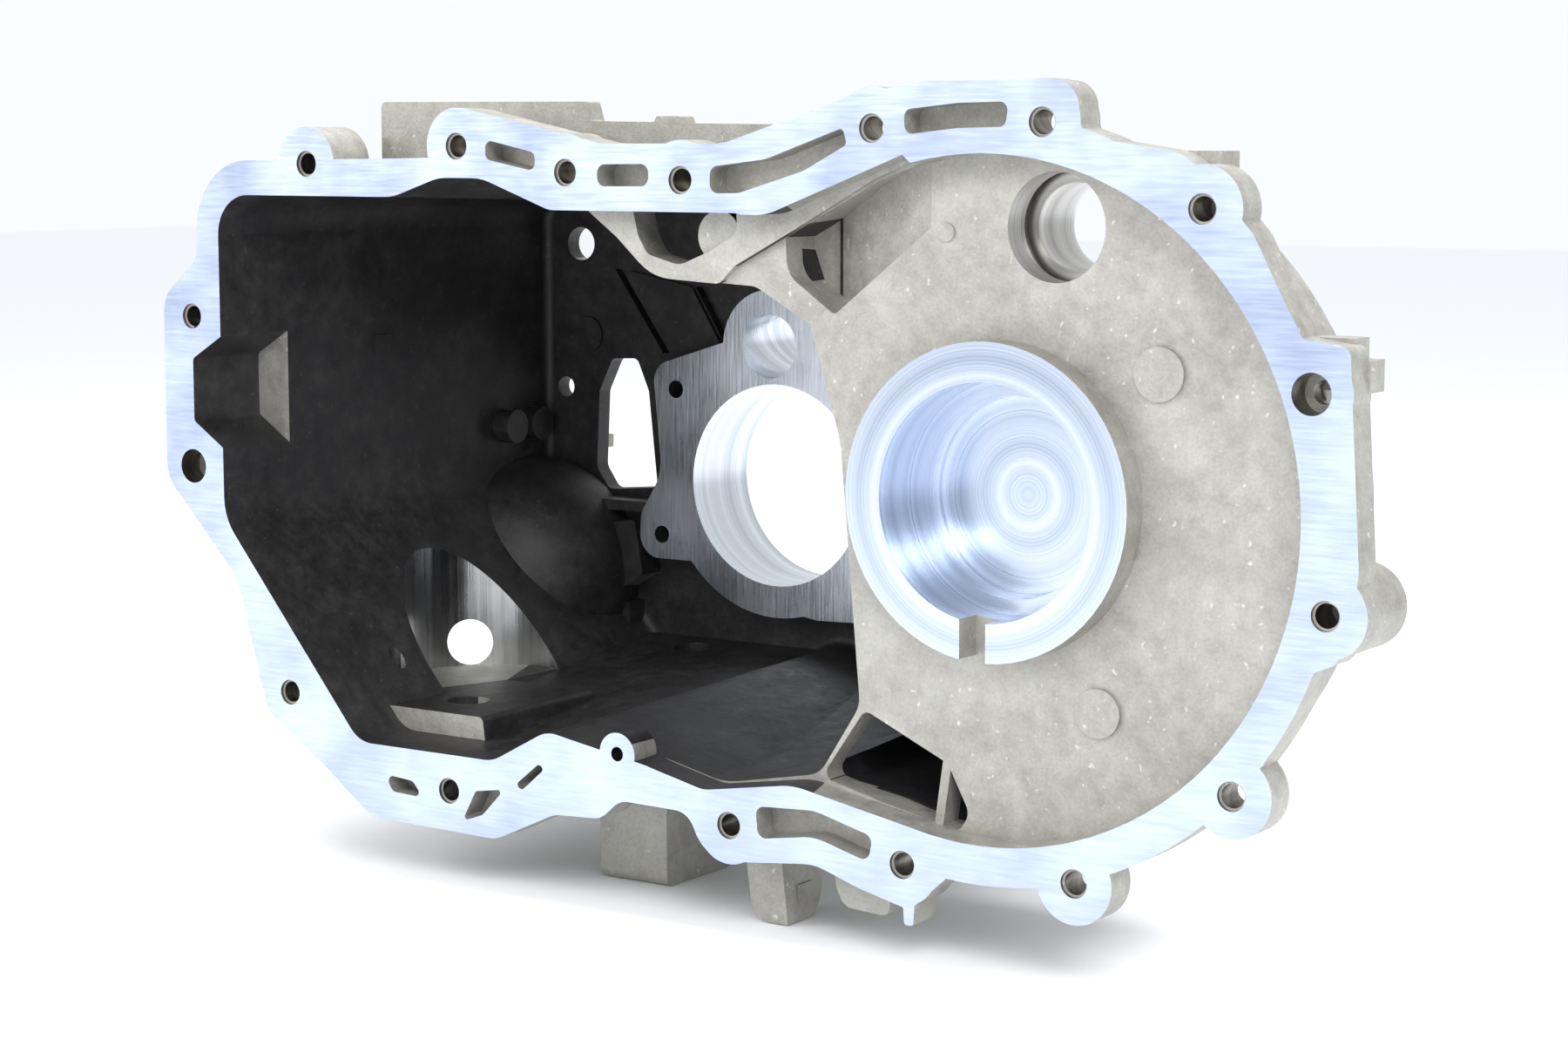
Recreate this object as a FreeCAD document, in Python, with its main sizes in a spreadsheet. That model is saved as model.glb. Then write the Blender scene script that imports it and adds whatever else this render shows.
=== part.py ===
import FreeCAD, Part
import math
import os
import re

# Die-cast aluminium gearbox housing, millimetres, +Z up.
# +X runs from the gear chamber to the differential, +Y runs from the joint face into the case.
# The origin is the centre of the differential bearing bore's mouth. Depths in this file are
# measured from the joint face, which lies collar_face_depth in front of the origin.

Vector = FreeCAD.Vector
document = FreeCAD.newDocument("gearbox_housing")

SIZES = [
    # joint face and its rim
    ("flange_thickness", 12.0),
    ("slot_depth", 9.0),
    ("boss_radius", 12.5),
    ("boss_length", 12.0),
    ("long_boss_length", 28.0),
    ("knob_length", 18.0),
    ("inner_boss_radius", 7.0),
    ("inner_boss_length", 12.0),
    ("inner_hole_radius", 2.4),
    ("bolt_radius", 3.6),
    ("bolt_mouth_radius", 4.4),
    ("bolt_mouth_depth", 1.2),
    ("bolt_depth", 13.0),
    ("dowel_radius", 6.0),
    ("dowel_depth", 9.0),
    ("dowel_drill_radius", 3.4),
    ("dowel_drill_depth", 15.0),
    # cast shell
    ("wall", 7.0),
    ("chamber_depth", 178.0),
    ("chamber_left", -306.0),
    ("chamber_top", 88.0),
    ("chamber_floor", -98.5),
    ("draft_angle", 1.5),
    ("floor_rise", 14.0),
    ("floor_ramp_start", 22.0),
    ("corner_fillet", 3.5),
    ("outer_fillet", 8.0),
    # differential side
    ("diff_inner_radius", 103.0),
    ("diff_rim_radius", 115.0),
    ("diff_wall_depth", 12.0),
    ("diff_wall_thickness", 9.0),
    ("skirt_radius", 110.5),
    ("skirt_end_radius", 106.0),
    ("skirt_depth", 44.0),
    ("collar_radius", 48.0),
    ("collar_face_depth", 2.0),
    ("bearing_seat_radius", 36.0),
    ("bearing_seat_depth", 18.0),
    ("bearing_shoulder_radius", 31.0),
    ("bearing_shoulder_depth", 10.0),
    ("oil_slot_width", 9.0),
    ("diff_boss_radius", 46.0),
    ("diff_boss_depth", 42.0),
    ("shaft_bore_x", 18.5),
    ("shaft_bore_z", 81.5),
    ("shaft_mouth_radius", 16.3),
    ("shaft_mouth_depth", 13.0),
    ("shaft_groove_radius", 18.0),
    ("shaft_groove_width", 3.0),
    ("shaft_bore_radius", 13.0),
    ("shaft_boss_radius", 22.0),
    ("shaft_boss_depth", 47.0),
    # rear wall
    ("input_bore_x", -183.2),
    ("input_bore_z", -21.6),
    ("input_bore_radius", 38.0),
    ("input_boss_radius", 49.0),
    ("input_boss_length", 16.0),
    ("bearing_plate_height", 13.0),
    ("rail_bore_x", -186.1),
    ("rail_bore_z", 30.5),
    ("rail_bore_radius", 12.0),
    ("rail_boss_radius", 20.0),
    ("retainer_circle_radius", 57.3),
    ("retainer_hole_radius", 3.4),
    ("retainer_hole_depth", 18.0),
    # ribs and feet
    ("rib_height", 4.0),
    ("rib_width", 5.0),
    ("foot_width", 14.0),
    ("rest_height", -144.0),
    # selector seat in the slanted wall
    ("selector_x", -255.3),
    ("selector_depth", 84.4),
    ("selector_radius", 32.0),
    ("selector_floor", -90.0),
    ("side_hole_radius", 8.6),
    # oil passages
    ("floor_hole_radius", 7.5),
    ("block_top", -90.0),
    ("sump_length", 66.0),
    ("pocket_depth", 16.5),
    ("pocket_wall", 6.0),
    ("ledge_height", 2.5),
    ("web_boss_radius", 8.0),
    ("pad_height", 1.2),
]

sheet = document.addObject("Spreadsheet::Sheet", "Sizes")
size = {}
for row, (alias, value) in enumerate(SIZES, start=1):
    sheet.set("A%d" % row, alias.replace("_", " "))
    sheet.set("B%d" % row, str(value))
    sheet.setAlias("B%d" % row, alias)
    size[alias] = value
document.recompute()

ALIAS = re.compile("|".join(r"\b%s\b" % alias for alias in size))


def bind(item, prop, formula):
    """Bind one property to a formula of the sheet's sizes."""
    item.setExpression(prop, ALIAS.sub(lambda found: "Sizes." + found.group(0), str(formula)))


def turn(axis, angle):
    return FreeCAD.Rotation(Vector(*axis), angle)


AXIS_INWARD = turn((1, 0, 0), -90)
PLANE_UPRIGHT = turn((1, 0, 0), 90)


def place(item, x, depth, z, rotation):
    item.Placement = FreeCAD.Placement(Vector(0, 0, 0), rotation)
    bind(item, "Placement.Base.x", x)
    bind(item, "Placement.Base.y", "%s - collar_face_depth" % depth)
    bind(item, "Placement.Base.z", z)
    return item


def rounded_edges(corners):
    """Lines and arcs of a closed outline whose corners are (x, z, radius)."""
    points = [Vector(x, z, 0) for x, z, radius in corners]
    starts = []
    ends = []
    arcs = []
    for index, corner in enumerate(points):
        before = (points[index - 1] - corner).normalize()
        after = (points[(index + 1) % len(points)] - corner).normalize()
        radius = corners[index][2]
        angle = before.getAngle(after)
        if radius < 0.05 or math.pi - angle < 0.01:
            starts.append(corner)
            ends.append(corner)
            arcs.append(None)
            continue
        run = radius / math.tan(angle / 2)
        middle = (before + after).normalize()
        centre = corner + middle * (radius / math.sin(angle / 2))
        starts.append(corner + before * run)
        ends.append(corner + after * run)
        arcs.append(Part.Arc(starts[-1], centre - middle * radius, ends[-1]))
    edges = []
    for index, arc in enumerate(arcs):
        if arc:
            edges.append(arc)
        following = starts[(index + 1) % len(starts)]
        if ends[index].distanceToPoint(following) > 0.01:
            edges.append(Part.LineSegment(ends[index], following))
    return edges


def sketch(name, corners, depth):
    """An upright outline (x across, z up) at a depth behind the joint face."""
    drawing = document.addObject("Sketcher::SketchObject", name)
    drawing.addGeometry(rounded_edges(corners), False)
    return place(drawing, 0, depth, 0, PLANE_UPRIGHT)


def prism(name, corners, depth, length):
    """An outline run inward from a depth."""
    solid = document.addObject("Part::Extrusion", name)
    solid.Base = sketch(name + "_outline", corners, depth)
    solid.DirMode = "Custom"
    solid.Dir = Vector(0, 1, 0)
    solid.Solid = True
    bind(solid, "LengthFwd", length)
    return solid


def slab(name, corners, thickness, origin, across, upward):
    """A rib or web: an outline on any plane, thickened evenly to both sides."""
    drawing = document.addObject("Sketcher::SketchObject", name + "_outline")
    drawing.addGeometry(rounded_edges(corners), False)
    across = Vector(*across)
    upward = Vector(*upward)
    place(drawing, *origin, FreeCAD.Rotation(across, upward, across.cross(upward), "XYZ"))
    solid = document.addObject("Part::Extrusion", name)
    solid.Base = drawing
    solid.DirMode = "Normal"
    solid.Symmetric = True
    solid.Solid = True
    bind(solid, "LengthFwd", thickness)
    return solid


def cylinder(name, x, z, depth, length, radius):
    solid = document.addObject("Part::Cylinder", name)
    bind(solid, "Radius", radius)
    bind(solid, "Height", length)
    return place(solid, x, depth, z, AXIS_INWARD)


def cone(name, x, z, depth, length, radius, end_radius):
    solid = document.addObject("Part::Cone", name)
    bind(solid, "Radius1", radius)
    bind(solid, "Radius2", end_radius)
    bind(solid, "Height", length)
    return place(solid, x, depth, z, AXIS_INWARD)


def box(name, x, depth, z, length, width, height, rotation=turn((0, 0, 1), 0)):
    solid = document.addObject("Part::Box", name)
    bind(solid, "Length", length)
    bind(solid, "Width", width)
    bind(solid, "Height", height)
    return place(solid, x, depth, z, rotation)


def upright(name, x, depth, z, height, radius):
    """A vertical cylinder standing on height z."""
    solid = document.addObject("Part::Cylinder", name)
    bind(solid, "Radius", radius)
    bind(solid, "Height", height)
    return place(solid, x, depth, z, turn((0, 0, 1), 0))


def fuse(name, solids):
    joined = document.addObject("Part::MultiFuse", name)
    joined.Shapes = solids
    joined.Refine = False
    return joined


def cut(name, base, tool):
    result = document.addObject("Part::Cut", name)
    result.Base = base
    result.Tool = tool
    result.Refine = False
    return result


def meet(name, base, tool):
    """The part that two solids share."""
    result = document.addObject("Part::Common", name)
    result.Base = base
    result.Tool = tool
    return result


def fillet(name, base, radius, chosen):
    """Round the edges of base that chosen(edge) picks."""
    document.recompute()
    rounding = document.addObject("Part::Fillet", name)
    rounding.Base = base
    numbers = [n for n, edge in enumerate(base.Shape.Edges, start=1) if chosen(edge)]
    rounding.Edges = [(number, radius, radius) for number in numbers]
    return rounding


def lies_at_depth(depth):
    y = depth - size["collar_face_depth"]
    return lambda edge: all(abs(vertex.Y - y) < 0.01 for vertex in edge.Vertexes)


def offset(corners, distance):
    """The outline moved outward by a wall; corners run clockwise seen from the joint face."""
    moved = []
    count = len(corners)
    for index in range(count):
        x0, z0, unused = corners[index - 1]
        x1, z1, radius = corners[index]
        x2, z2, unused = corners[(index + 1) % count]
        first = Vector(x1 - x0, z1 - z0, 0).normalize()
        second = Vector(x2 - x1, z2 - z1, 0).normalize()
        first_out = Vector(-first.y, first.x, 0)
        second_out = Vector(-second.y, second.x, 0)
        shift = (first_out + second_out) * (distance / (1 + first_out.dot(second_out)))
        turning = first.cross(second).z
        grown = radius + distance if turning < 0 else max(radius - distance, 1.0)
        moved.append((x1 + shift.x, z1 + shift.y, grown))
    return moved


left = size["chamber_left"]
top = size["chamber_top"]
floor = size["chamber_floor"]
wall = size["wall"]
rise = size["floor_rise"]

# ---------------------------------------------------------------- outlines of the gear chamber
# Clockwise from the upper left corner: roof with its dome, the free edge of the differential
# wall, the stepped floor, the slanted lower left wall.
chamber_outline = [
    (left, top, 14),
    (-226, top, 20),
    (-206, top + 6.5, 22),
    (-188, top + 6.5, 22),
    (-160, top - 3.5, 10),
    (-80, top - 3.5, 12),
    (-67, 50, 12),
    (-56, 15, 40),
    (-48.5, -67.5, 10),
    (-63.5, -91, 10),
    (-100, floor + 0.5, 24),
    (-124, floor + 6, 18),
    (-163, floor + 12.5, 12),
    (-186, floor, 14),
    (-245, floor, 12),
    (left, -25, 20),
]
depth = size["chamber_depth"]
chamber_prism = prism("chamber_prism", chamber_outline, 0, "chamber_depth")
bind(chamber_prism, "TaperAngle", "-draft_angle")
ramp_profile = [
    (size["floor_ramp_start"], floor, 30),
    (depth, floor + rise, 0),
    (depth + 60, floor + rise + 5, 0),
    (depth + 60, floor - 30, 0),
    (-40, floor - 30, 0),
    (-40, floor - 0.2, 0),
]
floor_ramp = slab("floor_ramp", ramp_profile, 400, (-150, 0, 0), (0, 1, 0), (0, 0, 1))
chamber_form = fillet("chamber_form", chamber_prism, size["corner_fillet"], lies_at_depth(depth))
chamber_core = cut("chamber_core", chamber_form, floor_ramp)
case_prism = prism("case_prism", offset(chamber_outline, wall), 0, "chamber_depth + wall")
bind(case_prism, "TaperAngle", "-draft_angle")
case_form = fillet("case_form", case_prism, size["outer_fillet"], lies_at_depth(depth + wall))

# ---------------------------------------------------------------- joint face rim
rim_outline = [
    (-316, 99.5, 24), (-207.5, 101, 3), (-207.5, 112, 6), (-197, 117.5, 10), (-139, 105.7, 25),
    (-92, 105.7, 25), (-45, 120, 25), (-20, 124, 30), (31, 124, 8), (33, 108, 5),
    (66, 103, 14), (87, 81, 12), (102, 52.5, 3), (116.5, 50.5, 3), (120.5, -12, 14),
    (115, -37, 6), (60, -60, 0), (0, -90, 0), (-10.5, -114.8, 4), (-21.4, -124.6, 0.5),
    (-21.8, -131, 1), (-25, -131, 1), (-25.4, -125.6, 0.5), (-41.6, -121.8, 12), (-58, -116.5, 20), (-99, -121, 14), (-106, -106, 8), (-133, -105.5, 8),
    (-141, -112.5, 8), (-160, -113.5, 12), (-185, -125, 14), (-240, -124, 18),
    (-262, -108, 20), (-278, -98, 14), (-290, -84, 12), (-300, -46.5, 30), (-333.5, -12, 14),
    (-333, 52, 12), (-316, 66, 10),
]
bolts = [
    (-264.2, 98.8), (-198.2, 104.8), (-153.3, 96.5), (-108.1, 94.4), (-37.8, 110.3), (20.1, 112.0),
    (71.3, 87.7), (110.9, -23.9), (83.4, -78.0), (33.3, -110.2), (-25.9, -112.4), (-90.2, -108.3),
    (-205.0, -110.9), (-276.4, -84.4), (-319.5, 45.4),
]
inner_bolt = (-134.1, -90.3)
dowels = [(105.3, 37.4), (-320.4, -7.6)]

slots = [
    [(-186, 107, 2.4), (-165.5, 102.8, 2.4), (-165.5, 96.8, 2.4), (-186, 100.6, 2.4)],
    [(-140.5, 99.2, 3), (-120.3, 99.4, 3), (-120.3, 92.4, 3), (-140.5, 92.2, 3)],
    [(-96.8, 98.6, 3), (-76, 101, 14), (-48, 110.5, 1.5), (-46.5, 105.5, 1.5), (-62, 97.5, 14),
     (-86, 90.6, 8), (-96.8, 90.4, 3)],
    [(-26.5, 115.8, 2.5), (-8, 117.6, 30), (9, 117.9, 2.5), (8, 110.6, 2.5), (-8, 110.3, 30),
     (-26.2, 108.4, 2.5)],
    [(-80, -100.8, 3), (-58, -99.5, 18), (-36.5, -105, 3), (-38, -113.2, 3), (-58, -107.8, 18),
     (-79, -111.2, 3)],
    [(-233.5, -108.4, 2), (-221, -109.4, 3), (-216.5, -114.6, 1.5), (-230, -114.2, 3)],
    [(-193.4, -109.6, 1.5), (-181, -107.6, 1), (-190.5, -117.4, 4), (-199.4, -120.6, 1)],
    [(-166.6, -97.4, 1.2), (-163.8, -98.6, 1.2), (-173.4, -106.8, 1.2), (-176.6, -105.6, 1.2)],
]

# ---------------------------------------------------------------- outer form
outer = [
    case_form,
    prism("rim", rim_outline, 0, "flange_thickness"),
    cylinder("diff_rim", 0, 0, 0, "flange_thickness", "diff_rim_radius"),
    cone("skirt", 0, 0, 0, "skirt_depth", "skirt_radius", "skirt_end_radius"),
]
LONG_BOSS = 8
for number, (x, z) in enumerate(bolts + dowels, start=1):
    length = {1: "knob_length", LONG_BOSS: "long_boss_length"}.get(number, "boss_length")
    outer.append(cylinder("boss_%d" % number, x, z, 0, length, "boss_radius"))
skirt_hollow = cone(
    "skirt_hollow", 0, 0, "diff_wall_depth + diff_wall_thickness", "skirt_depth",
    "skirt_radius - wall", "skirt_end_radius - wall",
)
open_skirt = cut("open_skirt", fuse("outer_form", outer), skirt_hollow)

# radial ribs between the bearing boss and the skirt
ribs = []
rib_root = size["diff_wall_depth"] + 2
rib_profile = [
    (size["diff_boss_radius"] - 8, rib_root, 0),
    (size["diff_boss_radius"] - 8, size["diff_boss_depth"] - 4, 0),
    (size["skirt_end_radius"] - 4, size["diff_wall_depth"] + size["diff_wall_thickness"] + 8, 14),
    (size["skirt_end_radius"] - 4, rib_root, 0),
]
for number, angle in enumerate((-52, -22, 8, 38), start=1):
    outward = (math.cos(math.radians(angle)), 0, math.sin(math.radians(angle)))
    ribs.append(slab("back_rib_%d" % number, rib_profile, "rib_width", (0, 0, 0), outward, (0, 1, 0)))

# ribs that run round the gear case
tangent = math.tan(math.radians(size["draft_angle"]))
for number, share in enumerate((0.4, 0.72), start=1):
    at = share * depth
    reach = wall + size["rib_height"] - at * tangent
    ribs.append(prism("case_rib_%d" % number, offset(chamber_outline, reach), at, "rib_width"))

# the dark sump behind the differential wall and its cast cover
sump_outline = [(-47, -62, 8), (4, -66, 12), (18, -92, 10), (-20, -100.6, 10), (-66, -91.5, 6)]
sump = prism("sump", sump_outline, "diff_wall_depth + diff_wall_thickness", "sump_length")
sump_cover = prism("sump_cover", offset(sump_outline, wall), "diff_wall_depth", "sump_length + 16")

# scooped pocket under the ledge: deepest at its round left end, running out to the right
pocket_left, pocket_right = -76.5, -24
wall_face = size["diff_wall_depth"]
pocket_bottom = wall_face + size["pocket_depth"]
pocket_outline = [
    (pocket_left, 76.8, 0.5), (-42.2, 94.8, 0), (pocket_right, 101, 0), (pocket_right, 80.8, 0),
    (-58.5, 53.5, 2), (-76, 65.5, 9),
]
pocket_profile = [
    (pocket_left - 6, wall_face - 1, 0), (pocket_left - 6, pocket_bottom, 0), (pocket_left + 9, pocket_bottom, 12),
    (pocket_right, wall_face, 0), (pocket_right, wall_face - 1, 0),
]
pocket = meet(
    "pocket",
    prism("pocket_form", pocket_outline, "diff_wall_depth - 1", "pocket_depth + 2"),
    slab("pocket_scoop", pocket_profile, 120, (0, 0, 75), (1, 0, 0), (0, 1, 0)),
)
cover = size["pocket_wall"]
cover_profile = [
    (pocket_left - 12, wall_face + 1, 0), (pocket_left - 12, pocket_bottom + cover, 0),
    (pocket_left + 12, pocket_bottom + cover, 12), (pocket_right + cover, wall_face + cover, 0),
    (pocket_right + cover, wall_face + 1, 0),
]
pocket_cover = meet(
    "pocket_cover",
    prism("cover_form", offset(pocket_outline, cover), "diff_wall_depth + 1", "pocket_depth + pocket_wall"),
    slab("cover_scoop", cover_profile, 150, (0, 0, 75), (1, 0, 0), (0, 1, 0)),
)

# upright boss that carries the selector seat in the slanted wall
selector_boss = upright("selector_boss", "selector_x", "selector_depth", "selector_floor - 8", 72,
                        "selector_radius + wall")

# pads, lugs and feet
pad_profile = [(-256.5, 84, 0), (-256.5, 119.8, 2), (-168, 119.4, 1), (-166, 113, 1), (-140, 112.6, 0),
               (-139, 114.5, 1), (-130, 114.5, 1), (-129, 112.2, 0), (-72, 111.5, 2), (-72, 84, 0)]
pad_low = [(-256.5, 84, 0), (-256.5, 113, 2), (-168, 113, 2), (-164, 84, 0)]
rest = size["rest_height"]
front_foot = meet(
    "front_foot",
    prism("front_foot_form", [(-101, -95, 0), (-86.5, -95, 0), (-81, rest, 0.5), (-94.5, rest, 8)], 18, 26),
    slab("front_foot_side", [(20, -95, 0), (43, -95, 0), (41, rest, 11), (20, rest, 0.5)], 40, (-90, 0, 0),
         (0, 1, 0), (0, 0, 1)),
)
middle_foot_profile = [(40, -84, 0), (88, -84, 0), (84, rest, 10), (40, rest, 3)]
rear_foot_profile = [(150, -84, 0), (182, -84, 0), (180, rest, 8), (162, rest, 8)]
notch_cover_profile = [(-328.5, 8, 4), (-328.5, 41, 6), (-300, 41, 0), (-300, 8, 0)]
block_hole = (-234.4, 46.2)
stand = ribs + [
    case_form,
    sump_cover,
    pocket_cover,
    selector_boss,
    cylinder("diff_boss", 0, 0, "diff_wall_depth", "diff_boss_depth - diff_wall_depth", "diff_boss_radius"),
    cylinder("shaft_boss", "shaft_bore_x", "shaft_bore_z", "diff_wall_depth",
             "shaft_boss_depth - diff_wall_depth", "shaft_boss_radius"),
    cylinder("input_boss", "input_bore_x", "input_bore_z", "chamber_depth", "wall + input_boss_length",
             "input_boss_radius"),
    cylinder("rail_boss", "rail_bore_x", "rail_bore_z", "chamber_depth", "wall + input_boss_length",
             "rail_boss_radius"),
    prism("top_pad", pad_profile, 30, 8),
    prism("top_pad_rear", pad_low, 30, 48),
    box("right_lug", 100, 10, 37.5, 18.2, 10, 9),
    box("right_lug_step", 100, 10, 45, 13.5, 10, 7.5),
    box("top_right_lug", 58, 10, 84, 14, 12, 19.8),
    slab("notch_cover", notch_cover_profile, 60, (0, 0, 18), (1, 0, 0), (0, 1, 0)),
    front_foot,
    box("foot_mark", -86, 27, rest + 4, 4.4, 8, 8),
    prism("spike_lug", [(-60, -98, 0), (-57.5, -126, 2), (-54.5, -132, 5), (-38, -133, 3), (-34, -98, 0)], 12, 18),
    slab("middle_foot", middle_foot_profile, 28, (-157.5, 0, 0), (0, 1, 0), (0, 0, 1)),
    slab("rear_foot_left", rear_foot_profile, 24, (-228, 0, 0), (0, 1, 0), (0, 0, 1)),
    slab("rear_foot_right", rear_foot_profile, 24, (-84, 0, 0), (0, 1, 0), (0, 0, 1)),
    upright("floor_boss_rear", -220, 163, floor - 8, 20, "floor_hole_radius + 5"),
    upright("floor_boss_front", block_hole[0], block_hole[1], floor - 14, 20, "floor_hole_radius + 5"),
]
# rounded bearing carriers joined by ribs on the outside of the rear wall
for number, (from_x, from_z, to_x, to_z) in enumerate([
    (-183, -21, -290, -10), (-183, -21, -215, -80), (-183, -21, -90, 20), (-186, 30, -270, 72), (-186, 30, -120, 74),
], start=1):
    run = Vector(to_x - from_x, 0, to_z - from_z)
    stand.append(slab(
        "wall_rib_%d" % number,
        [(30, depth, 0), (30, depth + wall + 14, 0), (run.Length, depth + wall + 1, 0), (run.Length, depth, 0)],
        "rib_width", (from_x, 0, from_z), tuple(run.normalize()), (0, 1, 0),
    ))
outer_case = fuse("outer_case", [open_skirt] + stand)

# ---------------------------------------------------------------- hollow
shallow_outline = [
    (-160, top - 3.5, 4), (-76, top - 4, 22), (-27, 102.5, 0), (20, 60, 0), (20, -60, 0),
    (-22, -100.6, 0), (-66, -92.5, 25), (-100, floor + 0.5, 12), (-124, floor + 6, 10), (-160, -60, 0),
]
hollow = fuse("hollow", [
    chamber_core,
    cylinder("diff_pocket", 0, 0, 0, "diff_wall_depth", "diff_inner_radius"),
    prism("shallow_pocket", shallow_outline, 0, "diff_wall_depth"),
    sump,
])
shell = cut("shell", outer_case, hollow)

# ---------------------------------------------------------------- forms inside
hump = document.addObject("Part::Sphere", "hump_ball")
hump.Radius = 45
place(hump, -300, 166, -62, turn((0, 0, 1), 0))
hump_in_case = meet("hump", case_form, hump)

plate_outline = [
    (-240, 21, 8), (-206, 31.5, 4), (-166, 31, 2), (-134, 2, 0), (-134, -70, 3), (-165, -71, 12),
    (-197, -65.5, 15), (-222, -53, 4), (-247, -53, 9), (-246, -36, 9), (-236, -20, 20),
]
plate_start = "chamber_depth - bearing_plate_height"
web_outline = [
    (-158, top + 2, 0), (-70, top + 2, 0), (-60, 50, 0), (-68, 50.5, 3), (-88, 61.5, 8), (-126, 63.5, 20),
    (-140, 76, 20), (-152, 84.6, 4),
]
ledge_outline = [
    (-158, top + 2, 0), (-60, top + 12, 0), (-30, 106, 0), (-26.8, 101.4, 0), (-42.2, 95.3, 0), (-76.1, 77.1, 0),
    (-94, 67.8, 3), (-100, 62, 4), (-126, 63.5, 20), (-140, 76, 20), (-152, 84.6, 4),
]
web_window = [(-134, 87, 2), (-131.5, 76.7, 6), (-127.9, 70.8, 4), (-115.3, 67.5, 8), (-104, 72, 4), (-93, 78, 4),
              (-93.5, 87, 2)]
web = cut(
    "web",
    fuse("web_form", [
        prism("web_plate", web_outline, "diff_wall_depth", "diff_wall_thickness"),
        prism("ledge", ledge_outline, "diff_wall_depth - ledge_height", "ledge_height + 2"),
    ]),
    prism("web_window", web_window, "diff_wall_depth - 4", "diff_wall_thickness + 7"),
)
web_boss = (-101.4, 76.9)
pad_groove = 4
shift_outline = [(-263, 57, 2), (-230, 51, 2), (-215.5, 28, 2), (-240, 25, 2)]
right_groove = [(-229, 51, 0), (-214.5, 28, 0), (-208.5, 27, 0), (-223, 51.5, 0)]
left_groove = [(-263, 57, 0), (-240, 25, 0), (-244.5, 25, 0), (-267.5, 57, 0)]
inside = [
    shell,
    hump_in_case,
    cylinder("collar", 0, 0, "collar_face_depth", "diff_boss_depth - collar_face_depth - 2", "collar_radius"),
    cylinder("inner_boss", inner_bolt[0], inner_bolt[1], 0, "inner_boss_length", "inner_boss_radius"),
    cylinder("left_dowel_boss", dowels[1][0], dowels[1][1], 0, "boss_length", "boss_radius"),
    cylinder("left_bolt_boss", bolts[-1][0], bolts[-1][1], 0, "boss_length", "boss_radius"),
    web,
    cylinder("web_boss", web_boss[0], web_boss[1], "diff_wall_depth - 0.5", 19, "web_boss_radius"),
    prism("bearing_plate", plate_outline, plate_start, "bearing_plate_height + 2"),
    cylinder("plate_round", "input_bore_x", "input_bore_z", plate_start, "bearing_plate_height + 2",
             "input_boss_radius + 1"),
    cylinder("plate_lobe", "rail_bore_x", "rail_bore_z", plate_start, "bearing_plate_height + 2",
             "rail_boss_radius + 1"),
    prism("shift_pad", shift_outline, depth - 1.5, 4),
    cylinder("cast_disc", -280.5, 31, "chamber_depth - pad_height", 3, 7),
    cylinder("upper_cast_pad", 53, 40, "diff_wall_depth - pad_height", 3, 8),
    cylinder("lower_cast_pad", 34.5, -61, "diff_wall_depth - pad_height", 3, 7.4),
    cylinder("small_cast_pad", -18.6, 79.4, "diff_wall_depth - pad_height / 2", 2, 2.8),
    box("wall_mark", -304.5, 78, 28, 1.6, 8, 7),
    box("lower_rib", -303, depth - 11, -36, 62, 13, 4),
    prism("lower_block", [(-268, -42, 2), (-250, -39, 2), (-246, -60, 2), (-259, -68, 2)], depth - 12, 14),
    box("lower_stub", -264, depth - 10, -84, 10, 12, 12),
    prism("floor_block", [(-290, floor + 2, 0), (-290, size["block_top"], 0), (-209.5, size["block_top"], 2),
                          (-208, floor - 3, 0), (-270, floor - 3, 0)], 23.5, 62.5),
]
for number, at in enumerate((depth - 27, depth - 11), start=1):
    lump = document.addObject("Part::Cylinder", "wall_lump_%d" % number)
    lump.Radius = 6.5
    lump.Height = 9
    inside.append(place(lump, -304, at, -4, turn((0, 1, 0), 90)))
sump_rib = slab(
    "sump_rib", [(-1.5, 0, 0), (1.5, 0, 0), (1.5, -25, 0), (-1.5, -25, 0)], "diff_wall_thickness",
    (-17, "diff_wall_depth + diff_wall_thickness / 2", -80), (0.99, 0, -0.14), (0.14, 0, 0.99),
)
cast = fuse("cast", inside)

# ---------------------------------------------------------------- openings left by the mould
sump_window = [(-47, -68.5, 3), (-17, -82, 4), (-9, -97, 5), (-13, -102.4, 2), (-40, -97, 0), (-63, -91.5, 3)]
openings = [
    prism("sump_window", sump_window, "diff_wall_depth - 1", "diff_wall_thickness + 3"),
    pocket,
    prism("left_groove", left_groove, "chamber_depth - 2", pad_groove + 2),
    prism("right_groove", right_groove, "chamber_depth - 2", pad_groove + 2),
    prism("rear_window", [(-269, 22, 3), (-257, 22.5, 3), (-251.5, 10, 4), (-247.5, -27.5, 3), (-271, -29.5, 4),
                          (-277, -21, 5), (-275.5, 9, 5)], depth - 5, 40),
    prism("left_notch", [(-319.5, 8.5, 2), (-319.5, 30.5, 2), (-302, 41, 0), (-296, 41, 0), (-296, -3, 0),
                         (-302, -3, 0)], -1, 34),
    box("oil_slot", "-3 - oil_slot_width / 2", "collar_face_depth - 1", -52, "oil_slot_width",
        "diff_wall_depth - collar_face_depth + 1", 20),
]
for number, outline in enumerate(slots, start=1):
    openings.append(prism("slot_%d" % number, outline, -1, "slot_depth + 1"))

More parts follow.
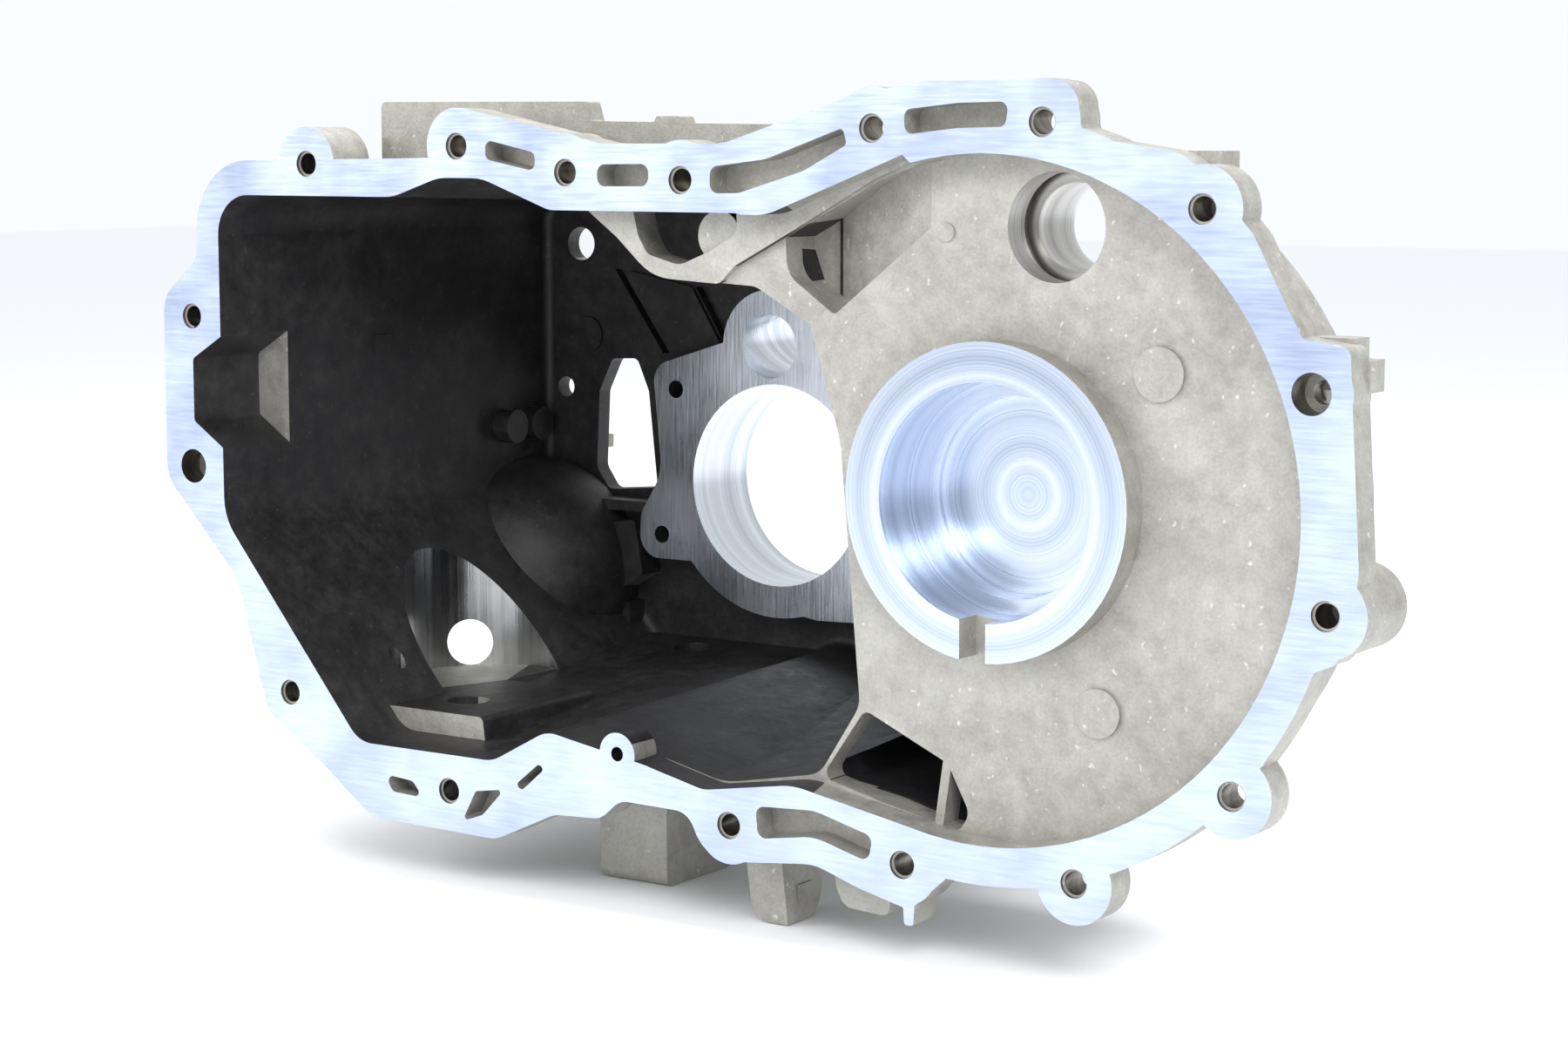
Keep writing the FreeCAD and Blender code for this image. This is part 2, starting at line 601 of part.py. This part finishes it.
# ---------------------------------------------------------------- machining
radial = Vector(-0.63, 0.76, -0.16).normalize()
side_hole = document.addObject("Part::Cylinder", "side_hole")
bind(side_hole, "Radius", "side_hole_radius")
side_hole.Height = 60
place(side_hole, -264, 83, -77, FreeCAD.Rotation(Vector(0, 0, 1), radial))
tools = [
    upright("selector_seat", "selector_x", "selector_depth", "selector_floor", 60, "selector_radius"),
    side_hole,
    cylinder("bearing_seat", 0, 0, "collar_face_depth - 1", "bearing_seat_depth + 1", "bearing_seat_radius"),
    cylinder("bearing_shoulder", 0, 0, "collar_face_depth", "bearing_seat_depth + bearing_shoulder_depth",
             "bearing_shoulder_radius"),
    cylinder("input_bore", "input_bore_x", "input_bore_z", "chamber_depth - 30", 80, "input_bore_radius"),
    cylinder("rail_bore", "rail_bore_x", "rail_bore_z", "chamber_depth - 30", 80, "rail_bore_radius"),
    cylinder("shaft_bore", "shaft_bore_x", "shaft_bore_z", "diff_wall_depth", 60, "shaft_bore_radius"),
    cylinder("shaft_mouth", "shaft_bore_x", "shaft_bore_z", "diff_wall_depth - 1", "shaft_mouth_depth + 1",
             "shaft_mouth_radius"),
    cylinder("shaft_groove", "shaft_bore_x", "shaft_bore_z",
             "diff_wall_depth + shaft_mouth_depth - shaft_groove_width", "shaft_groove_width", "shaft_groove_radius"),
    cylinder("cream_hole", -284, 66.5, depth - 5, 40, 6.5),
    cylinder("half_hole", -292, 10, depth - 5, 40, 4),
    upright("floor_hole_rear", -220, 163, floor - 2, 30, "floor_hole_radius"),
    upright("floor_hole_front", block_hole[0], block_hole[1], floor - 8, 30, "floor_hole_radius"),
    upright("oil_hole", -262, 40, "block_top - 4", 24, 3),
]
holes = []
for number, (x, z) in enumerate(bolts, start=1):
    holes.append(cylinder("bolt_%d" % number, x, z, -1, "bolt_depth + 1", "bolt_radius"))
    holes.append(cylinder("bolt_mouth_%d" % number, x, z, -1, "bolt_mouth_depth + 1", "bolt_mouth_radius"))
holes.append(cylinder("inner_hole", inner_bolt[0], inner_bolt[1], -1, "bolt_depth - 4", "inner_hole_radius"))
for number, (x, z) in enumerate(dowels, start=1):
    holes.append(cylinder("dowel_%d" % number, x, z, -1, "dowel_depth + 1", "dowel_radius"))
    holes.append(cylinder("dowel_drill_%d" % number, x, z, 0, "dowel_drill_depth", "dowel_drill_radius"))
for number, angle in enumerate((143.4, 202.6), start=1):
    x = "input_bore_x + retainer_circle_radius * %.4f" % math.cos(math.radians(angle))
    z = "input_bore_z + retainer_circle_radius * %.4f" % math.sin(math.radians(angle))
    holes.append(cylinder("retainer_hole_%d" % number, x, z, plate_start + " - 1",
                          "retainer_hole_depth + 1", "retainer_hole_radius"))
pierced = cut("pierced", cast, fuse("openings", openings))
bored = cut("bored", pierced, fuse("bores", tools))
drilled = cut("drilled", bored, fuse("holes", holes))
housing = fuse("housing", [drilled, sump_rib])
housing.Label = "gearbox_housing"

document.recompute()
for item in document.Objects:
    if "Invalid" in item.State or "Error" in item.State:
        raise RuntimeError("%s failed: %s" % (item.Name, item.State))
shape = housing.Shape
print("solids", len(shape.Solids), "volume", shape.Volume, shape.BoundBox)
if shape.isNull() or not shape.isValid():
    raise RuntimeError("gearbox_housing is not a valid solid")

os.makedirs("parts", exist_ok=True)
shape.exportStep("parts/gearbox_housing.step")
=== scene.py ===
import bpy
import numpy as np
from mathutils import Matrix, Vector


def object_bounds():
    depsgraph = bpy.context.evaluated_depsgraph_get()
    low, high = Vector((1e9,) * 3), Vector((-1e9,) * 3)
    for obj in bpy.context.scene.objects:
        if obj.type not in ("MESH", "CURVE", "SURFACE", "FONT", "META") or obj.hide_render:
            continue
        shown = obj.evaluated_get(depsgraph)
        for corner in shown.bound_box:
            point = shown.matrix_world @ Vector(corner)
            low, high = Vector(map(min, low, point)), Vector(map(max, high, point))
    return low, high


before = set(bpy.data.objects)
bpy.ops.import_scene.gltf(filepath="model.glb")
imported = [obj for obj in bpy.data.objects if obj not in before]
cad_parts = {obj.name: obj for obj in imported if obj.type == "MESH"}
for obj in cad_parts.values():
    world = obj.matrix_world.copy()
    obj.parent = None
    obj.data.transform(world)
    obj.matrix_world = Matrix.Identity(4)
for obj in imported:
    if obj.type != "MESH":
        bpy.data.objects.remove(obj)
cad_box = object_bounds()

MM = 0.001
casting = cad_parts["gearbox_housing"]

# places on the casting, metres
SEAT = (0.0, 0.0)
INPUT_BORE = (-0.1832, -0.0216)
RAIL_BORE = (-0.1861, 0.0305)
SHAFT_BORE = (0.0185, 0.0815)
JOINT_FACE = -0.002
PLATE_FACE = 0.163
CHAMBER_END = 0.181
SEAT_END = 0.030
BOLT_END = 0.014
COLLAR_REACH = 0.049
SEAT_REACH = 0.0365
PLATE_REACH = 0.085
SHAFT_REACH = 0.0184
RECESS = (-0.2553, 0.0824)
RECESS_REACH = 0.0319
RECESS_HEIGHTS = (-0.0905, -0.028)
ON_FACE = 0.0003
REAR_BOSS_FACE = 0.199


# ---------------------------------------------------------------- materials
class Nodes:
    """A short way to write a node tree."""

    def __init__(self, name):
        self.material = bpy.data.materials.new(name)
        self.material.use_nodes = True
        self.tree = self.material.node_tree
        self.shader = self.tree.nodes["Principled BSDF"]
        self.place = self.add("ShaderNodeTexCoord").outputs["Object"]

    def add(self, kind, links=(), **settings):
        node = self.tree.nodes.new(kind)
        for key, value in settings.items():
            if hasattr(node, key):
                setattr(node, key, value)
            else:
                node.inputs[key].default_value = value
        for socket, source in links:
            self.tree.links.new(source, node.inputs[socket])
        return node

    def stretch(self, scale):
        return self.add("ShaderNodeMapping", [("Vector", self.place)], Scale=scale).outputs[0]

    def noise(self, scale, detail=3.0, vector=None, roughness=0.55):
        node = self.add("ShaderNodeTexNoise", [("Vector", vector or self.place)], Scale=scale, Detail=detail)
        node.inputs["Roughness"].default_value = roughness
        return node.outputs[0]

    def ramp(self, factor, *stops):
        node = self.add("ShaderNodeValToRGB", [("Fac", factor)])
        ramp = node.color_ramp
        while len(ramp.elements) < len(stops):
            ramp.elements.new(0.5)
        for element, (position, colour) in zip(ramp.elements, stops):
            element.position = position
            element.color = (*colour, 1.0) if isinstance(colour, tuple) else (colour, colour, colour, 1.0)
        return node.outputs[0]

    def mix(self, factor, first, second, blend="MIX"):
        node = self.add("ShaderNodeMix", data_type="RGBA", blend_type=blend)
        for socket, value in ((0, factor), (6, first), (7, second)):
            if isinstance(value, (int, float, tuple)):
                node.inputs[socket].default_value = value
            else:
                self.tree.links.new(value, node.inputs[socket])
        return node.outputs[2]

    def math(self, operation, first, second=0.0):
        node = self.add("ShaderNodeMath", operation=operation)
        for socket, value in enumerate((first, second)):
            if isinstance(value, (int, float)):
                node.inputs[socket].default_value = value
            else:
                self.tree.links.new(value, node.inputs[socket])
        return node.outputs[0]

    def bump(self, height, distance, strength):
        return self.add("ShaderNodeBump", [("Height", height)], Distance=distance, Strength=strength).outputs[0]

    def finish(self, colour, roughness, normal, metallic):
        link = self.tree.links.new
        link(colour, self.shader.inputs["Base Color"])
        link(roughness, self.shader.inputs["Roughness"])
        link(normal, self.shader.inputs["Normal"])
        self.shader.inputs["Metallic"].default_value = metallic
        return self.material


def cast_skin(name, dark, middle, light, metallic, rough):
    """As-cast aluminium: cloudy blotches, a fine grain and small bright or dark flecks."""
    n = Nodes(name)
    clouds = n.noise(38, 4)
    blotches = n.noise(170, 5, roughness=0.7)
    grain = n.noise(900, 3, roughness=0.7)
    tone = n.math("ADD", n.math("MULTIPLY", clouds, 0.45), n.math("MULTIPLY", blotches, 0.55))
    colour = n.ramp(tone, (0.34, dark), (0.5, middle), (0.66, light))
    colour = n.mix(0.5, colour, n.ramp(grain, (0.3, 0.62), (0.7, 1.0)), "MULTIPLY")
    flecks = n.ramp(n.noise(420, 2, roughness=0.4), (0.69, 0.0), (0.76, 1.0))
    colour = n.mix(n.math("MULTIPLY", flecks, 0.35), colour, (*[min(1.0, 1.9 * c) for c in light], 1.0))
    roughness = n.ramp(blotches, (0.3, rough - 0.08), (0.7, rough + 0.1))
    height = n.math("ADD", n.math("MULTIPLY", blotches, 0.6), n.math("MULTIPLY", grain, 0.4))
    return n.finish(colour, roughness, n.bump(height, 0.00035, 0.7), metallic)


def milled(name, colour_low, colour_high, stretch, rough, bump=0.00008):
    """A milled face: fine parallel tool marks with a soft cloudy sheen."""
    n = Nodes(name)
    marks = n.noise(1.0, 2, n.stretch(stretch))
    clouds = n.noise(26, 3)
    tone = n.math("ADD", n.math("MULTIPLY", marks, 0.35), n.math("MULTIPLY", clouds, 0.65))
    colour = n.ramp(tone, (0.35, colour_low), (0.65, colour_high))
    roughness = n.ramp(tone, (0.3, rough - 0.06), (0.7, rough + 0.08))
    return n.finish(colour, roughness, n.bump(marks, bump, 0.6), 1.0)


def turned(name, centre, colour_low, colour_high, rough):
    """A turned seat: fine rings about its own axis, on the faces and down the walls."""
    n = Nodes(name)
    offset = n.add("ShaderNodeVectorMath", [(0, n.place)], operation="SUBTRACT")
    offset.inputs[1].default_value = (centre[0], 0.0, centre[1])
    split = n.add("ShaderNodeSeparateXYZ", [(0, offset.outputs[0])])
    x, y, z = split.outputs
    radius = n.math("SQRT", n.math("ADD", n.math("MULTIPLY", x, x), n.math("MULTIPLY", z, z)))
    feed = n.add("ShaderNodeCombineXYZ", [(0, n.math("ADD", radius, y))]).outputs[0]
    rings = n.noise(1700, 2, feed)
    bands = n.noise(150, 2, feed)
    tone = n.math("ADD", n.math("MULTIPLY", rings, 0.4), n.math("MULTIPLY", bands, 0.6))
    colour = n.ramp(tone, (0.36, colour_low), (0.62, colour_high))
    roughness = n.ramp(tone, (0.3, rough - 0.05), (0.7, rough + 0.08))
    return n.finish(colour, roughness, n.bump(rings, 0.00006, 0.5), 1.0)


cast_light = cast_skin("cast_light", (0.30, 0.29, 0.26), (0.40, 0.39, 0.355), (0.50, 0.49, 0.45), 0.55, 0.55)
# painted shade: a near-black copy of the cast skin, painted where shade falls in the chamber and the flange notch
cast_painted_shade = cast_skin("cast_painted_shade", (0.018, 0.017, 0.018), (0.034, 0.032, 0.033), (0.062, 0.059, 0.058), 0.35, 0.52)
# painted shade: an almost black copy of the cast skin for the deep shade in the sump pocket
cast_painted_deep_shade = cast_skin("cast_painted_deep_shade", (0.004, 0.004, 0.005), (0.008, 0.008, 0.010), (0.016, 0.016, 0.020), 0.2, 0.7)
# milled tool marks on the joint face; its blue-grey colour is a painted reflection of blue-grey surroundings,
# darker than bare aluminium
face_milled_painted_reflection = milled("face_milled_painted_reflection", (0.40, 0.46, 0.62), (0.60, 0.68, 0.88), (60, 60, 900), 0.36)
plate_milled = milled("plate_milled", (0.30, 0.32, 0.36), (0.66, 0.69, 0.74), (1100, 60, 60), 0.27)
recess_milled = milled("recess_milled", (0.26, 0.26, 0.26), (0.62, 0.62, 0.62), (420, 420, 6), 0.26, 0.0003)
# turned rings on the seat are real; the darker blue-grey colour is a painted reflection in place of the seat
# reflecting the white studio
seat_turned_painted_reflection = turned("seat_turned_painted_reflection", SEAT, (0.36, 0.42, 0.52), (0.66, 0.72, 0.84), 0.24)
input_turned = turned("input_turned", INPUT_BORE, (0.34, 0.38, 0.42), (0.74, 0.78, 0.83), 0.22)
shaft_turned = turned("shaft_turned", SHAFT_BORE, (0.22, 0.21, 0.20), (0.60, 0.59, 0.57), 0.3)
# thread rings are real; the near-black brown colour is painted shade inside the bolt holes
thread_painted_shade = turned("thread_painted_shade", SEAT, (0.05, 0.045, 0.04), (0.30, 0.28, 0.24), 0.35)

MATERIALS = [cast_light, cast_painted_shade, cast_painted_deep_shade, face_milled_painted_reflection, plate_milled, recess_milled, seat_turned_painted_reflection, input_turned,
             shaft_turned, thread_painted_shade]
casting.data.materials.clear()
for material in MATERIALS:
    casting.data.materials.append(material)

# ---------------------------------------------------------------- which surface was cut by which tool, and where shade is painted
mesh = casting.data
count = len(mesh.polygons)
centre = np.empty(count * 3)
normal = np.empty(count * 3)
mesh.polygons.foreach_get("center", centre)
mesh.polygons.foreach_get("normal", normal)
centre = centre.reshape(-1, 3)
normal = normal.reshape(-1, 3)
x, y, z = centre.T


def distance(point):
    return np.hypot(x - point[0], z - point[1])


slot = np.zeros(count, dtype=int)


def paint(mask, material):
    slot[mask] = MATERIALS.index(material)


facing_out = normal[:, 1] < -0.9
walls = abs(normal[:, 1]) < 0.2


def inward(point):
    """Faces that look towards an axis along Y."""
    return (normal[:, 0] * (point[0] - x) + normal[:, 2] * (point[1] - z)) > 0


CHAMBER = [(-0.3065, 0.0885), (-0.205, 0.095), (-0.155, 0.085), (-0.067, 0.085), (-0.067, 0.05), (-0.056, 0.015),
           (-0.0485, -0.0675), (-0.0635, -0.091), (-0.100, -0.0985), (-0.245, -0.0990), (-0.3065, -0.025)]


def inside(outline, grow):
    """Which face centres lie inside a convex-enough outline in X and Z, grown by a margin."""
    result = np.zeros(count, dtype=bool)
    middle = np.mean(outline, axis=0)
    grown = [middle + (np.array(p) - middle) * (1 + grow / np.linalg.norm(np.array(p) - middle)) for p in outline]
    for (ax, az), (bx, bz) in zip(grown, grown[1:] + grown[:1]):
        crosses = (az > z) != (bz > z)
        with np.errstate(divide="ignore", invalid="ignore"):
            at = (bx - ax) * (z - az) / (bz - az) + ax
        result ^= crosses & (x < at)
    return result


looks_in = (normal[:, 0] * (-0.18 - x) + normal[:, 2] * (-0.005 - z) + normal[:, 1] * (0.06 - y)) > 0
# painted shade: the chamber's inward faces get the dark skin in place of the shade that falls inside
paint(inside(CHAMBER, 0.004) & (y > -0.0015) & looks_in & (y < CHAMBER_END), cast_painted_shade)
# painted shade: the flange notch is painted dark where it lies in shadow
notch = (x < -0.3015) & (x > -0.3197) & (z > -0.0045) & (z < 0.0425) & (y > -0.0015) & (y < 0.0305)
paint(notch, cast_painted_shade)
# painted shade: the sump pocket's faces are painted almost black where shade falls
SUMP = [(-0.049, -0.061), (0.004, -0.065), (0.020, -0.092), (-0.020, -0.103), (-0.068, -0.0925)]
paint(inside(SUMP, 0.001) & (y > 0.0202) & (y < 0.0862) & (normal[:, 1] < 0.5), cast_painted_deep_shade)
# joint face: real milled marks, with a painted blue-grey reflection in its colour
paint(facing_out & (abs(y - JOINT_FACE) < ON_FACE), face_milled_painted_reflection)
# seat collar, walls and floor: real turning marks, with a painted blue-grey reflection in their colour
paint(facing_out & (abs(y) < ON_FACE) & (distance(SEAT) < COLLAR_REACH), seat_turned_painted_reflection)
paint(walls & inward(SEAT) & (distance(SEAT) < SEAT_REACH) & (y < SEAT_END), seat_turned_painted_reflection)
paint(facing_out & (distance(SEAT) < SEAT_REACH) & (y > SEAT_END / 2) & (y < SEAT_END), seat_turned_painted_reflection)
paint(facing_out & (abs(y - PLATE_FACE) < ON_FACE) & (distance(INPUT_BORE) < PLATE_REACH), plate_milled)
paint(walls & inward(INPUT_BORE) & (distance(INPUT_BORE) < 0.0382), input_turned)
paint(walls & inward(RAIL_BORE) & (distance(RAIL_BORE) < 0.0122), input_turned)
paint((distance(SHAFT_BORE) < SHAFT_REACH) & inward(SHAFT_BORE) & (y > 0.0101), shaft_turned)
paint((distance(SHAFT_BORE) < SHAFT_REACH) & facing_out & (y > 0.0121), shaft_turned)
paint((normal[:, 1] > 0.9) & (abs(y - REAR_BOSS_FACE) < ON_FACE), plate_milled)

reach = np.hypot(x - RECESS[0], y - RECESS[1])
toward = (normal[:, 0] * (RECESS[0] - x) + normal[:, 1] * (RECESS[1] - y)) > 0
recess_wall = (abs(reach - RECESS_REACH) < 0.0005) & toward & (abs(normal[:, 2]) < 0.1)
paint(recess_wall & (z > RECESS_HEIGHTS[0]) & (z < RECESS_HEIGHTS[1]), recess_milled)

BOLTS = [(-264.2, 98.8), (-198.2, 104.8), (-153.3, 96.5), (-108.1, 94.4), (-37.8, 110.3), (20.1, 112.0),
         (71.3, 87.7), (110.9, -23.9), (83.4, -78.0), (33.3, -110.2), (-25.9, -112.4), (-90.2, -108.3),
         (-205.0, -110.9), (-276.4, -84.4), (-319.5, 45.4), (-134.1, -90.3), (105.3, 37.4), (-320.4, -7.6)]
# painted shade: the walls of the bolt holes are painted dark where shade falls inside them
for bx, bz in BOLTS:
    point = (bx * MM, bz * MM)
    paint((distance(point) < 0.0061) & inward(point) & (abs(normal[:, 1]) < 0.95) & (y < BOLT_END), thread_painted_shade)
mesh.polygons.foreach_set("material_index", slot.astype(np.int32))
mesh.update()

# ---------------------------------------------------------------- floor, light and camera
floor_level = cad_box[0][2]
bpy.ops.mesh.primitive_plane_add(size=12.0, location=(0.0, 0.0, floor_level - 0.0002))
floor = bpy.context.object
floor.name = "floor"
floor_paint = bpy.data.materials.new("floor_paint")
floor_paint.use_nodes = True
floor_paint.node_tree.nodes["Principled BSDF"].inputs["Base Color"].default_value = (0.93, 0.94, 0.97, 1.0)
floor_paint.node_tree.nodes["Principled BSDF"].inputs["Roughness"].default_value = 0.9
floor.data.materials.append(floor_paint)

world = bpy.data.worlds.new("studio")
world.use_nodes = True
world.node_tree.nodes["Background"].inputs[0].default_value = (0.96, 0.98, 1.0, 1.0)
world.node_tree.nodes["Background"].inputs[1].default_value = 1.0
bpy.context.scene.world = world


def lamp(name, place, aim, width, power, colour=(1.0, 1.0, 1.0)):
    data = bpy.data.lights.new(name, "AREA")
    data.shape = "RECTANGLE"
    data.size = width
    data.size_y = width * 0.7
    data.energy = power
    data.color = colour
    obj = bpy.data.objects.new(name, data)
    bpy.context.collection.objects.link(obj)
    obj.location = place
    obj.rotation_euler = (Vector(aim) - Vector(place)).to_track_quat("-Z", "Y").to_euler()
    return obj


middle = (-0.10, 0.03, 0.0)
lamp("key", (0.9, -1.0, 0.9), middle, 0.9, 18)
lamp("fill", (-1.0, -0.9, 0.6), middle, 0.8, 7)
lamp("top", (-0.1, 0.2, 1.2), middle, 1.2, 14)

view = Vector((-0.552, 0.8245, -0.1245)).normalized()
right = Vector((view.y, -view.x, 0.0)).normalized()
up = right.cross(view)
camera_data = bpy.data.cameras.new("camera")
camera_data.lens = 70.0
camera_data.sensor_width = 36.0
camera = bpy.data.objects.new("camera", camera_data)
bpy.context.collection.objects.link(camera)
camera_place = Matrix.Translation((0.4498, -0.7771, 0.1068))
camera.matrix_world = camera_place @ Matrix((right, up, -view)).transposed().to_4x4()
bpy.context.scene.camera = camera
bpy.context.scene.view_settings.view_transform = "Standard"
